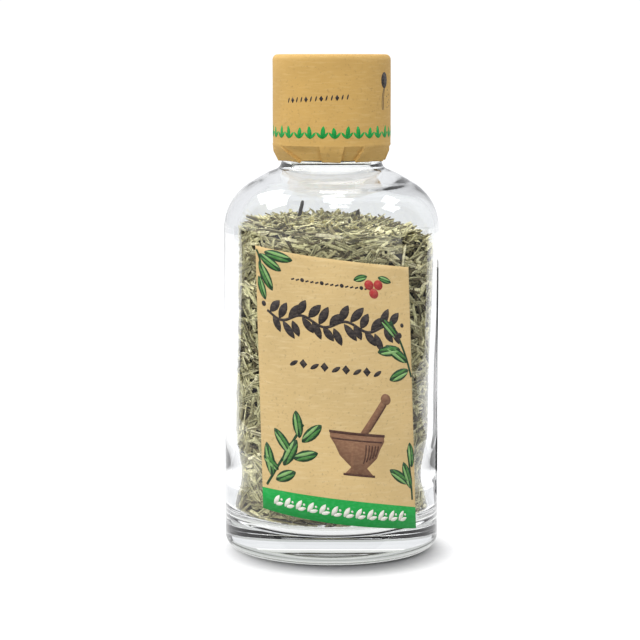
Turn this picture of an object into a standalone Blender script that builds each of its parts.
"""A glass spice bottle filled with dried rosemary. Metres, +Z up, the bottle stands on z = 0.

The bottle is turned glass with a screw neck and a thick base. It holds a fill of dried
needles. A screw cap with two flaps closes it over a loose liner, a paper seal covers the
cap and is pleated in to the neck, and a paper label is wrapped round the front.
"""

import math
import random

import bmesh
import bpy
from mathutils import Matrix, Vector
from mathutils.kdtree import KDTree

MM = 0.001

# Gaps and counts
GAP = 0.30 * MM
ROUND_STEPS = 48
MERGE = 0.01 * MM

# The glass outside
BODY_RADIUS = 30.0 * MM
HEEL_RADIUS = 3.3 * MM
BEARING_INNER = 24.9 * MM
PUSH_UP = 1.7 * MM
SHOULDER_RADIUS = 15.0 * MM
SHOULDER_BASE = 89.4 * MM
SHOULDER_TURN = 63.0
NECK_RADIUS = 13.94 * MM
NECK_FILLET = 1.6 * MM
FINISH_RADIUS = 13.4 * MM
FINISH_BASE = 108.15 * MM
MOUTH_HEIGHT = 132.75 * MM
MOUTH_ROUND = 0.8 * MM

# The glass inside, a little to one side as in blown glass
CAVITY_SHIFT = 0.8 * MM
CAVITY_RADIUS = 27.4 * MM
CAVITY_FLOOR = 6.5 * MM
CORNER_WIDTH = 11.3 * MM
CORNER_HEIGHT = 10.0 * MM
WAIST_HEIGHT = 22.5 * MM
WAIST_DEPTH = 1.8 * MM
WAIST_REACH = 6.5 * MM
INNER_SHOULDER = 12.4 * MM
BORE_RADIUS = 11.2 * MM
BORE_START = 100.0 * MM
NECK_END_INSET = 1.6 * MM
WALL_HEIGHTS = (19.5, 22.5, 25.5, 29.0, 33.5, 40.0, 89.0)

# The screw thread, right-handed
PITCH = 4.23 * MM
RIDGE_RADIUS = 14.4 * MM
RIDGE_START = 123.3 * MM
RIDGE_FIRST = 3.0
RIDGE_TURN = 450.0
RIDGE_FADE = 30.0
RIDGE_SUNK = 0.4 * MM
RIDGE_ROOT_HALF = 1.2 * MM
RIDGE_CREST_HALF = 0.7 * MM
RIDGE_END_SHARE = 0.12

# The screw cap
CAP_RADIUS = 15.85 * MM
CAP_BORE = 14.75 * MM
CAP_RIM = 113.2 * MM
CAP_RIDGE_RADIUS = 13.8 * MM
CAP_RIDGE_FIRST = 21.0
CAP_RIDGE_TURN = 360.0
CAP_RIDGE_SUNK = 0.3 * MM
CAP_RIDGE_ROOT_HALF = 1.0 * MM
CAP_RIDGE_CREST_HALF = 0.45 * MM
LINER_THICKNESS = 0.8 * MM
LINER_RADIUS = 14.2 * MM
DECK_THICKNESS = 1.4 * MM
FLAP_THICKNESS = 1.2 * MM
FLAP_SEAT_RADIUS = 14.6 * MM
HINGE_BAR_HALF = 1.5 * MM
CAP_EDGE = 0.8 * MM
BAR_SUNK = 0.3 * MM
BAR_OVERLAP = 0.2 * MM
CUT_PAST = 0.2 * MM
PLUG_DEPTH = 0.7 * MM
PLUG_SUNK = 0.3 * MM
PIN_CLEAR = 0.35 * MM
SPRINKLE_RADIUS = 1.5 * MM
POUR_RADIUS = 11.0 * MM
POUR_EDGE = 3.2 * MM

# The heights of the stack, from the mouth to the paper
LINER_BASE = MOUTH_HEIGHT + GAP
DECK_BASE = LINER_BASE + LINER_THICKNESS + GAP
DECK_TOP = DECK_BASE + DECK_THICKNESS
FLAP_BASE = DECK_TOP + GAP
CAP_TOP = FLAP_BASE + FLAP_THICKNESS

# The paper over the cap
PAPER = 0.25 * MM
SEAL_RADIUS = CAP_RADIUS + GAP + PAPER
SEAL_TOP = CAP_TOP + GAP + PAPER
SEAL_EDGE = 1.0 * MM
SEAL_CREASE = 112.9 * MM
SEAL_HEM = 108.45 * MM
SEAL_HEM_RADIUS = 13.97 * MM
SEAL_PLEATS = 12
SEAL_STEPS_EACH = 5
PLEAT_DEPTH = 0.55 * MM
PLEAT_RISE = 0.7
HEM_WAVE = 0.25 * MM
HEM_WAVES = 5
SKIRT_STEPS = ((0.35, 0.36), (0.7, 0.74), (1.0, 1.0))

# The label, by its four corners: degrees round from the front, and height
LABEL_TOP_LEFT = (-42.8, 86.7 * MM)
LABEL_TOP_RIGHT = (43.4, 80.8 * MM)
LABEL_LOW_LEFT = (-38.0, 15.1 * MM)
LABEL_LOW_RIGHT = (50.4, 8.5 * MM)
LABEL_COLUMNS = 20
LABEL_ROWS = 3

# The fill
CORE_INSET = 2.1 * MM
CORE_STEPS = 24
FILL_LEVEL = 89.1 * MM
FILL_TILT = -0.078
FILL_MOUND = 3.6 * MM
NEEDLE_LENGTHS = (5.5 * MM, 10.5 * MM)
NEEDLE_ROOT_RADIUS = 0.62 * MM
NEEDLE_TIP_RADIUS = 0.36 * MM
NEEDLE_CLEAR = 0.35 * MM
NEEDLE_APART = 1.1 * MM
ROOT_SUNK = 0.5 * MM
HEAP_SUNK = 0.9 * MM
CORE_BASE = 8.6 * MM
CORE_TOP = 88.0 * MM
CORE_HEIGHTS = (88.0, 60.0, 38.0, 29.0, 25.0, 21.0, 17.0, 13.0, 10.5)
CORE_TOP_RADII = (0, 9, 17)
CORE_SUNK = 0.4 * MM
SIDE_BAND = (17.0 * MM, 88.0 * MM)
LOW_BAND = (9.5 * MM, 18.0 * MM)
HEAP_REACH = 24.5 * MM
HEAP_LIFTS = (6, 9, 12, 16, 22)
SIDE_NEEDLES = 312
LOW_NEEDLES = 32
TOP_NEEDLES = 74
SAMPLES = 8
SEED = 11


def clear_scene():
    """Empties the scene of every object."""
    for found in list(bpy.data.objects):
        bpy.data.objects.remove(found, do_unlink=True)


def new_collection(name):
    """A collection linked to the scene."""
    made = bpy.data.collections.new(name)
    bpy.context.scene.collection.children.link(made)
    return made


def finish(name, colour, roughness, transmission=0.0):
    """A plain Principled material in the piece's colour."""
    made = bpy.data.materials.new(name)
    made.use_nodes = True
    shader = made.node_tree.nodes["Principled BSDF"]
    shader.inputs["Base Color"].default_value = (*colour, 1.0)
    shader.inputs["Roughness"].default_value = roughness
    shader.inputs["Metallic"].default_value = 0.0
    shader.inputs["Transmission Weight"].default_value = transmission
    return made


def add_object(name, mesh, collection, material=None):
    """An object on this mesh, in this collection."""
    made = bpy.data.objects.new(name, mesh)
    collection.objects.link(made)
    if material:
        mesh.materials.append(material)
    return made


def mesh_of(bm, name):
    """The bmesh as mesh data, shaded smooth with its edges kept sharp."""
    made = bpy.data.meshes.new(name)
    bm.to_mesh(made)
    bm.free()
    made.shade_smooth()
    made.set_sharp_from_angle(angle=math.radians(35))
    return made


def as_cutter(piece):
    """Keeps a helper out of the render and shows it as wire."""
    piece.hide_render = True
    piece.display_type = "WIRE"
    return piece


def boolean(piece, operation, other):
    """Cuts the other object from this piece, or joins it to it."""
    modifier = piece.modifiers.new(other.name, "BOOLEAN")
    modifier.operation = operation
    modifier.solver = "EXACT"
    modifier.object = other


def settle(piece):
    """Makes a piece's modifiers part of its mesh."""
    bpy.context.view_layer.update()
    graph = bpy.context.evaluated_depsgraph_get()
    settled = bpy.data.meshes.new_from_object(piece.evaluated_get(graph))
    piece.modifiers.clear()
    piece.data = settled


def arc(centre, radius, first, last, count):
    """Points on an arc, as (radius, height), from one angle to another in degrees."""
    points = []
    for i in range(count + 1):
        angle = math.radians(first + (last - first) * i / count)
        points.append((centre[0] + radius * math.cos(angle), centre[1] + radius * math.sin(angle)))
    return points


def turned(name, outline, collection, material=None, steps=ROUND_STEPS):
    """Turns an outline of (radius, height), which runs down its outer side, about Z."""
    bm = bmesh.new()
    corners = [bm.verts.new((radius, 0, height)) for radius, height in outline]
    for upper, lower in zip(corners, corners[1:]):
        bm.edges.new((upper, lower))
    made = add_object(name, mesh_of(bm, name), collection, material)
    screw = made.modifiers.new("Turn", "SCREW")
    screw.steps = steps
    screw.render_steps = steps
    screw.use_merge_vertices = True
    screw.merge_threshold = MERGE
    screw.use_smooth_shade = True
    return made


def drum(name, radius, low, high, collection, material=None, steps=ROUND_STEPS, centre=(0, 0)):
    """An upright cylinder between two heights."""
    bm = bmesh.new()
    place = Matrix.Translation((centre[0], centre[1], (low + high) / 2))
    bmesh.ops.create_cone(
        bm, cap_ends=True, segments=steps, radius1=radius, radius2=radius, depth=high - low, matrix=place
    )
    return add_object(name, mesh_of(bm, name), collection, material)


def half_drum(name, radius, edge, side, low, high, collection, material=None):
    """The part of an upright cylinder beyond x = edge on one side, 1 for +X and -1 for -X."""
    bm = bmesh.new()
    place = Matrix.Translation((0, 0, (low + high) / 2))
    bmesh.ops.create_cone(
        bm, cap_ends=True, segments=ROUND_STEPS, radius1=radius, radius2=radius, depth=high - low, matrix=place
    )
    everything = bm.verts[:] + bm.edges[:] + bm.faces[:]
    bmesh.ops.bisect_plane(
        bm, geom=everything, dist=MERGE, plane_co=(side * edge, 0, 0), plane_no=(side, 0, 0), clear_inner=True
    )
    bmesh.ops.holes_fill(bm, edges=bm.edges[:], sides=0)
    bmesh.ops.recalc_face_normals(bm, faces=bm.faces[:])
    return add_object(name, mesh_of(bm, name), collection, material)


def ridge(name, root, crest, height, first, turn, collection):
    """A screw ridge: root and crest are (radius, half width), and both ends run out into the wall.

    It follows the helix that passes the height at 0 degrees, from the first angle through the turn.
    A face is spun up the helix, then its crest is drawn back towards the root near the ends.
    """
    bm = bmesh.new()
    corners = (
        (root[0], -root[1]), (crest[0], -crest[1]), (crest[0], crest[1]), (root[0], root[1])
    )
    face = bm.faces.new([bm.verts.new((radius, 0, height)) for radius, height in corners])
    steps = round(turn / 360 * ROUND_STEPS)
    rise = PITCH * turn / 360
    bmesh.ops.spin(
        bm, geom=[face, *face.edges, *face.verts], cent=(0, 0, 0), axis=(0, 0, 1),
        dvec=(0, 0, rise / steps), angle=math.radians(turn), steps=steps,
    )
    for vertex in bm.verts:
        radius = math.hypot(vertex.co.x, vertex.co.y)
        angle = math.degrees(math.atan2(vertex.co.y, vertex.co.x))
        along = vertex.co.z / PITCH * 360
        along = angle + 360 * round((along - angle) / 360)
        to_end = max(0.0, min(along, turn - along))
        if to_end < RIDGE_FADE and abs(radius - crest[0]) < MERGE:
            sunk = root[0] + (crest[0] - root[0]) * RIDGE_END_SHARE
            drawn = sunk + (crest[0] - sunk) * to_end / RIDGE_FADE
            vertex.co.x *= drawn / radius
            vertex.co.y *= drawn / radius
    start = height + PITCH * first / 360
    place = Matrix.Translation((0, 0, start)) @ Matrix.Rotation(math.radians(first), 4, "Z")
    bmesh.ops.transform(bm, matrix=place, verts=bm.verts)
    bmesh.ops.recalc_face_normals(bm, faces=bm.faces[:])
    return add_object(name, mesh_of(bm, name), collection)


def bottle_outline():
    """The glass outside, from the middle of the mouth down to the middle of the base."""
    slope = 90 - SHOULDER_TURN
    shoulder = arc((BODY_RADIUS - SHOULDER_RADIUS, SHOULDER_BASE), SHOULDER_RADIUS, SHOULDER_TURN, 0, 6)
    fillet_end = NECK_RADIUS + NECK_FILLET * (1 - math.cos(math.radians(SHOULDER_TURN)))
    line_rise = (shoulder[0][0] - fillet_end) * math.tan(math.radians(slope))
    fillet_base = shoulder[0][1] + line_rise + NECK_FILLET * math.sin(math.radians(SHOULDER_TURN))
    fillet = arc((NECK_RADIUS + NECK_FILLET, fillet_base), NECK_FILLET, 180, 180 + SHOULDER_TURN, 3)
    mouth = arc((FINISH_RADIUS - MOUTH_ROUND, MOUTH_HEIGHT - MOUTH_ROUND), MOUTH_ROUND, 90, 0, 2)
    heel = arc((BODY_RADIUS - HEEL_RADIUS, HEEL_RADIUS), HEEL_RADIUS, 0, -90, 4)
    dome = [
        (BEARING_INNER, 0),
        (BEARING_INNER - 0.6 * MM, 0.45 * MM),
        (BEARING_INNER * 0.6, PUSH_UP * 0.8),
        (0, PUSH_UP),
    ]
    neck = [(FINISH_RADIUS, FINISH_BASE), (NECK_RADIUS, FINISH_BASE - 0.2 * MM)]
    return [(0, MOUTH_HEIGHT), *mouth, *neck, *fillet, *shoulder, *heel, *dome]


def cavity_outline():
    """The glass inside, from the middle of the floor up to the neck, about its own axis."""
    corner = []
    for i in range(5):
        angle = math.radians(90 * i / 4)
        corner.append((
            CAVITY_RADIUS - CORNER_WIDTH + CORNER_WIDTH * math.sin(angle),
            CAVITY_FLOOR + CORNER_HEIGHT * (1 - math.cos(angle)),
        ))
    wall = [(CAVITY_RADIUS, height * MM) for height in WALL_HEIGHTS]
    centre = (CAVITY_RADIUS - INNER_SHOULDER, wall[-1][1])
    shoulder = arc(centre, INNER_SHOULDER, 0, SHOULDER_TURN, 5)
    slope = math.tan(math.radians(90 - SHOULDER_TURN))
    neck_end = BORE_RADIUS - NECK_END_INSET
    neck = (neck_end, shoulder[-1][1] + (shoulder[-1][0] - neck_end) * slope)
    outline = []
    for radius, height in [*corner, *wall, *shoulder[1:], neck]:
        squeeze = WAIST_DEPTH * math.exp(-(((height - WAIST_HEIGHT) / WAIST_REACH) ** 2))
        outline.append((radius - squeeze, height))
    return [(0, CAVITY_FLOOR), *outline, (0, neck[1])]


CAVITY = cavity_outline()


def cavity_radius(height):
    """The cavity's radius at a height, read along its outline."""
    for (near, low), (far, high) in zip(CAVITY[1:-1], CAVITY[2:-1]):
        if low <= height <= high:
            return near + (far - near) * (height - low) / (high - low)
    return 0.0


def make_bottle(parts, cutters, glass):
    bottle = turned("bottle", bottle_outline(), parts, glass)
    cavity = as_cutter(turned("cavity_cutter", CAVITY[::-1], cutters))
    cavity.location.x = CAVITY_SHIFT
    bore = as_cutter(drum("bore_cutter", BORE_RADIUS, BORE_START, MOUTH_HEIGHT + MM, cutters))
    thread = as_cutter(ridge(
        "neck_thread", (FINISH_RADIUS - RIDGE_SUNK, RIDGE_ROOT_HALF), (RIDGE_RADIUS, RIDGE_CREST_HALF),
        RIDGE_START, RIDGE_FIRST, RIDGE_TURN, cutters,
    ))
    boolean(bottle, "UNION", thread)
    boolean(bottle, "DIFFERENCE", cavity)
    boolean(bottle, "DIFFERENCE", bore)
    return bottle


def make_label(parts, paper):
    """A flat grid bent round the glass: its columns turn and its rows lean as the corners say."""
    bm = bmesh.new()
    bmesh.ops.create_grid(bm, x_segments=LABEL_COLUMNS, y_segments=LABEL_ROWS, size=1)
    radius = BODY_RADIUS + GAP
    for vertex in bm.verts:
        across = (vertex.co.x + 1) / 2
        up = (vertex.co.y + 1) / 2
        low = Vector(LABEL_LOW_LEFT).lerp(Vector(LABEL_LOW_RIGHT), across)
        high = Vector(LABEL_TOP_LEFT).lerp(Vector(LABEL_TOP_RIGHT), across)
        degrees, height = low.lerp(high, up)
        angle = math.radians(degrees)
        vertex.co = (radius * math.sin(angle), -radius * math.cos(angle), height)
    label = add_object("label", mesh_of(bm, "label"), parts, paper)
    wall = label.modifiers.new("Thickness", "SOLIDIFY")
    wall.thickness = PAPER
    wall.offset = 1
    return label


def make_cap(parts, cutters, plastic):
    outline = [
        (0, DECK_TOP), (FLAP_SEAT_RADIUS, DECK_TOP), (FLAP_SEAT_RADIUS, CAP_TOP),
        (CAP_RADIUS - CAP_EDGE, CAP_TOP), (CAP_RADIUS, CAP_TOP - CAP_EDGE), (CAP_RADIUS, CAP_RIM),
        (CAP_BORE, CAP_RIM), (CAP_BORE, DECK_BASE), (0, DECK_BASE),
    ]
    cap = turned("dispenser_cap", outline, parts, plastic)
    bar_length = 2 * (FLAP_SEAT_RADIUS + BAR_OVERLAP)
    bar_low = DECK_TOP - BAR_SUNK
    bm = bmesh.new()
    place = Matrix.Translation((0, 0, (bar_low + CAP_TOP) / 2))
    size = Matrix.Diagonal((2 * HINGE_BAR_HALF, bar_length, CAP_TOP - bar_low, 1))
    bmesh.ops.create_cube(bm, size=1, matrix=place @ size)
    bar = as_cutter(add_object("hinge_bar", mesh_of(bm, "hinge_bar"), cutters))
    thread = as_cutter(ridge(
        "cap_thread", (CAP_BORE + CAP_RIDGE_SUNK, CAP_RIDGE_ROOT_HALF), (CAP_RIDGE_RADIUS, CAP_RIDGE_CREST_HALF),
        RIDGE_START - PITCH / 2, CAP_RIDGE_FIRST, CAP_RIDGE_TURN, cutters,
    ))
    low = DECK_BASE - CUT_PAST
    high = DECK_TOP + CUT_PAST
    pour = as_cutter(half_drum("pour_cutter", POUR_RADIUS, POUR_EDGE, 1, low, high, cutters))
    boolean(cap, "UNION", bar)
    boolean(cap, "UNION", thread)
    boolean(cap, "DIFFERENCE", pour)
    for i, centre in enumerate(sprinkle_holes()):
        hole = drum(f"sprinkle_cutter_{i}", SPRINKLE_RADIUS, low, high, cutters, steps=12, centre=centre)
        boolean(cap, "DIFFERENCE", as_cutter(hole))
    return cap


def sprinkle_holes():
    """The middles of the sprinkle holes: a wide row of five and a near row of three."""
    centres = []
    for distance, angles in ((9.6 * MM, (-64, -32, 0, 32, 64)), (5.2 * MM, (-46, 0, 46))):
        for degrees in angles:
            angle = math.radians(180 + degrees)
            centres.append((distance * math.cos(angle), distance * math.sin(angle)))
    return centres


def make_flaps(parts, cutters, plastic):
    """Two half round lids beside the hinge bar, with plugs that reach into the openings."""
    radius = FLAP_SEAT_RADIUS - GAP
    edge = HINGE_BAR_HALF + GAP
    plug_low = DECK_TOP - PLUG_DEPTH
    plug_high = FLAP_BASE + PLUG_SUNK
    sprinkle = half_drum("sprinkle_flap", radius, edge, -1, FLAP_BASE, CAP_TOP, parts, plastic)
    for i, centre in enumerate(sprinkle_holes()):
        pin_radius = SPRINKLE_RADIUS - PIN_CLEAR
        pin = drum(f"sprinkle_pin_{i}", pin_radius, plug_low, plug_high, cutters, steps=8, centre=centre)
        boolean(sprinkle, "UNION", as_cutter(pin))
    pour = half_drum("pour_flap", radius, edge, 1, FLAP_BASE, CAP_TOP, parts, plastic)
    plug = half_drum("pour_plug", POUR_RADIUS - GAP, POUR_EDGE + GAP, 1, plug_low, plug_high, cutters)
    boolean(pour, "UNION", as_cutter(plug))
    return sprinkle, pour


def pleat_height(turn):
    """How far a pleat stands out, 0 to 1: it rises slowly and folds back sharply."""
    along = (turn * SEAL_PLEATS) % 1.0
    return along / PLEAT_RISE if along < PLEAT_RISE else (1 - along) / (1 - PLEAT_RISE)


def make_seal(parts, paper):
    """A paper cap: flat top, straight wall, and a skirt pleated in to the neck."""
    edge = arc((SEAL_RADIUS - SEAL_EDGE, SEAL_TOP - SEAL_EDGE), SEAL_EDGE, 90, 0, 2)
    fall = SEAL_CREASE - SEAL_HEM
    draw = SEAL_RADIUS - SEAL_HEM_RADIUS
    skirt = []
    for down, inward in SKIRT_STEPS:
        skirt.append((SEAL_RADIUS - draw * inward, SEAL_CREASE - fall * down))
    outline = [(0, SEAL_TOP), *edge, (SEAL_RADIUS, SEAL_CREASE), *skirt]
    seal = turned("paper_seal", outline, parts, paper, steps=SEAL_PLEATS * SEAL_STEPS_EACH)
    settle(seal)
    for vertex in seal.data.vertices:
        radius = math.hypot(vertex.co.x, vertex.co.y)
        down = (SEAL_CREASE - vertex.co.z) / fall
        if down <= 0.01 or radius < MERGE:
            continue
        turn = math.atan2(vertex.co.y, vertex.co.x) / (2 * math.pi) + 0.5
        stretch = 1 + PLEAT_DEPTH * min(1.0, down * 1.6) * pleat_height(turn) / radius
        vertex.co.x *= stretch
        vertex.co.y *= stretch
        vertex.co.z -= HEM_WAVE * down * (0.5 + 0.5 * math.sin(HEM_WAVES * turn * 2 * math.pi))
    wall = seal.modifiers.new("Thickness", "SOLIDIFY")
    wall.thickness = PAPER
    wall.offset = -1
    wall.use_even_offset = True
    return seal


def fill_top(x, y):
    """The height of the heap above a point, x and y from the cavity's axis."""
    spread = min(1.0, math.hypot(x, y) / CAVITY_RADIUS)
    return FILL_LEVEL + FILL_TILT * x + FILL_MOUND * (1 - spread**2)


def clears_glass(points):
    """True if a needle keeps clear of the glass all along."""
    for i, point in enumerate(points):
        girth = NEEDLE_ROOT_RADIUS + (NEEDLE_TIP_RADIUS - NEEDLE_ROOT_RADIUS) * i / SAMPLES
        room = cavity_radius(point.z - 0.3 * girth) - math.hypot(point.x, point.y)
        if room < girth + NEEDLE_CLEAR or point.z < CAVITY_FLOOR + girth + NEEDLE_CLEAR:
            return False
    return True


def clears_needles(points, laid):
    """True if a needle crosses none that is already laid."""
    return all(laid.find(point)[2] is None or laid.find(point)[2] > NEEDLE_APART for point in points)


def with_points(known, points):
    """A search tree of all the points that needles hold so far."""
    known.extend(points)
    tree = KDTree(len(known))
    for i, point in enumerate(known):
        tree.insert(point, i)
    tree.balance()
    return tree


def side_needle(draw, low, high):
    """The two ends of a needle that lies along the glass: its root in the core, its tip near the wall."""
    length = draw.uniform(*NEEDLE_LENGTHS)
    turn = draw.uniform(0, 2 * math.pi)
    height = draw.uniform(low, high)
    lean = draw.uniform(-math.pi / 2, math.pi / 2)
    ends = []
    for side, depth in ((-1, CORE_INSET + ROOT_SUNK), (1, NEEDLE_CLEAR + 1.15 * NEEDLE_TIP_RADIUS)):
        up = height + side * length / 2 * math.sin(lean)
        inner = cavity_radius(up) - depth
        if up < CORE_BASE + NEEDLE_ROOT_RADIUS or inner <= 5 * MM:
            return None
        angle = turn + side * length / 2 * math.cos(lean) / inner
        ends.append(Vector((inner * math.cos(angle), inner * math.sin(angle), up)))
    root = ends[0]
    if root.z > fill_top(root.x, root.y) - 2 * HEAP_SUNK:
        return None
    return ends


def top_needle(draw):
    """The two ends of a needle on the heap: most lie along it, a few stand up."""
    length = draw.uniform(*NEEDLE_LENGTHS)
    turn = draw.uniform(0, 2 * math.pi)
    distance = HEAP_REACH * math.sqrt(draw.random())
    heading = draw.uniform(0, 2 * math.pi)
    lift = math.radians(draw.choice(HEAP_LIFTS))
    middle = Vector((distance * math.cos(turn), distance * math.sin(turn), 0))
    along = Vector((math.cos(heading), math.sin(heading), 0)) * length / 2 * math.cos(lift)
    root = middle - along
    tip = middle + along
    root.z = fill_top(root.x, root.y) - HEAP_SUNK
    tip.z = fill_top(tip.x, tip.y) - HEAP_SUNK + length * math.sin(lift)
    return [root, tip]


def needle_mesh(root, tip, roll):
    """A three-sided needle from its thick sunk root to its thin blunt tip."""
    bm = bmesh.new()
    way = tip - root
    bmesh.ops.create_cone(
        bm, cap_ends=True, segments=3, radius1=NEEDLE_ROOT_RADIUS, radius2=NEEDLE_TIP_RADIUS, depth=way.length,
        matrix=Matrix.Translation((root + tip) / 2) @ way.to_track_quat("Z", "Y").to_matrix().to_4x4()
        @ Matrix.Rotation(roll, 4, "Z"),
    )
    return mesh_of(bm, "needle")


def make_core(parts, leaf):
    """The dense middle of the fill, a little smaller all round than the hollow of the glass."""
    outline = [(radius * MM, CORE_TOP + CORE_SUNK) for radius in CORE_TOP_RADII]
    for height in CORE_HEIGHTS:
        outline.append((cavity_radius(height * MM) - CORE_INSET, height * MM))
    outline.append((cavity_radius(CORE_BASE) - CORE_INSET, CORE_BASE))
    outline.append((0, CORE_BASE))
    core = turned("rosemary", outline, parts, leaf, steps=CORE_STEPS)
    settle(core)
    for vertex in core.data.vertices:
        if vertex.co.z > CORE_TOP - MM:
            vertex.co.z = fill_top(vertex.co.x, vertex.co.y) - CORE_SUNK
    return core


def make_rosemary(parts, leaf):
    """The fill: the core with needles laid on it all round and over the heap, joined as one body."""
    core = make_core(parts, leaf)
    draw = random.Random(SEED)
    needles = new_collection("needles")
    laid_points = []
    laid = with_points(laid_points, [])
    kinds = (
        (SIDE_NEEDLES, lambda: side_needle(draw, *SIDE_BAND)),
        (LOW_NEEDLES, lambda: side_needle(draw, *LOW_BAND)),
        (TOP_NEEDLES, lambda: top_needle(draw)),
    )
    for wanted, lay in kinds:
        made = 0
        while made < wanted:
            ends = lay()
            if ends is None:
                continue
            points = [ends[0].lerp(ends[1], i / SAMPLES) for i in range(SAMPLES + 1)]
            if not clears_glass(points) or not clears_needles(points, laid):
                continue
            laid = with_points(laid_points, points)
            add_object("needle", needle_mesh(*ends, draw.uniform(0, 2 * math.pi)), needles)
            made += 1
    union = core.modifiers.new("Needles", "BOOLEAN")
    union.operation = "UNION"
    union.solver = "MANIFOLD"
    union.operand_type = "COLLECTION"
    union.collection = needles
    settle(core)
    for needle in list(needles.objects):
        bpy.data.objects.remove(needle, do_unlink=True)
    bpy.data.collections.remove(needles)
    core.location.x = CAVITY_SHIFT
    return core


def main():
    clear_scene()
    parts = new_collection("rosemary_bottle")
    cutters = new_collection("cutters")
    glass = finish("glass", (0.90, 0.93, 0.93), 0.03, 1.0)
    leaf = finish("dried_leaf", (0.29, 0.29, 0.16), 0.85)
    label_paper = finish("label_paper", (0.72, 0.50, 0.28), 0.80)
    seal_paper = finish("seal_paper", (0.62, 0.42, 0.16), 0.80)
    plastic = finish("cap_plastic", (0.80, 0.80, 0.78), 0.45)
    card = finish("liner_card", (0.75, 0.74, 0.70), 0.70)
    make_bottle(parts, cutters, glass)
    make_rosemary(parts, leaf)
    make_label(parts, label_paper)
    make_cap(parts, cutters, plastic)
    make_flaps(parts, cutters, plastic)
    drum("liner", LINER_RADIUS, LINER_BASE, LINER_BASE + LINER_THICKNESS, parts, card)
    make_seal(parts, seal_paper)


main()
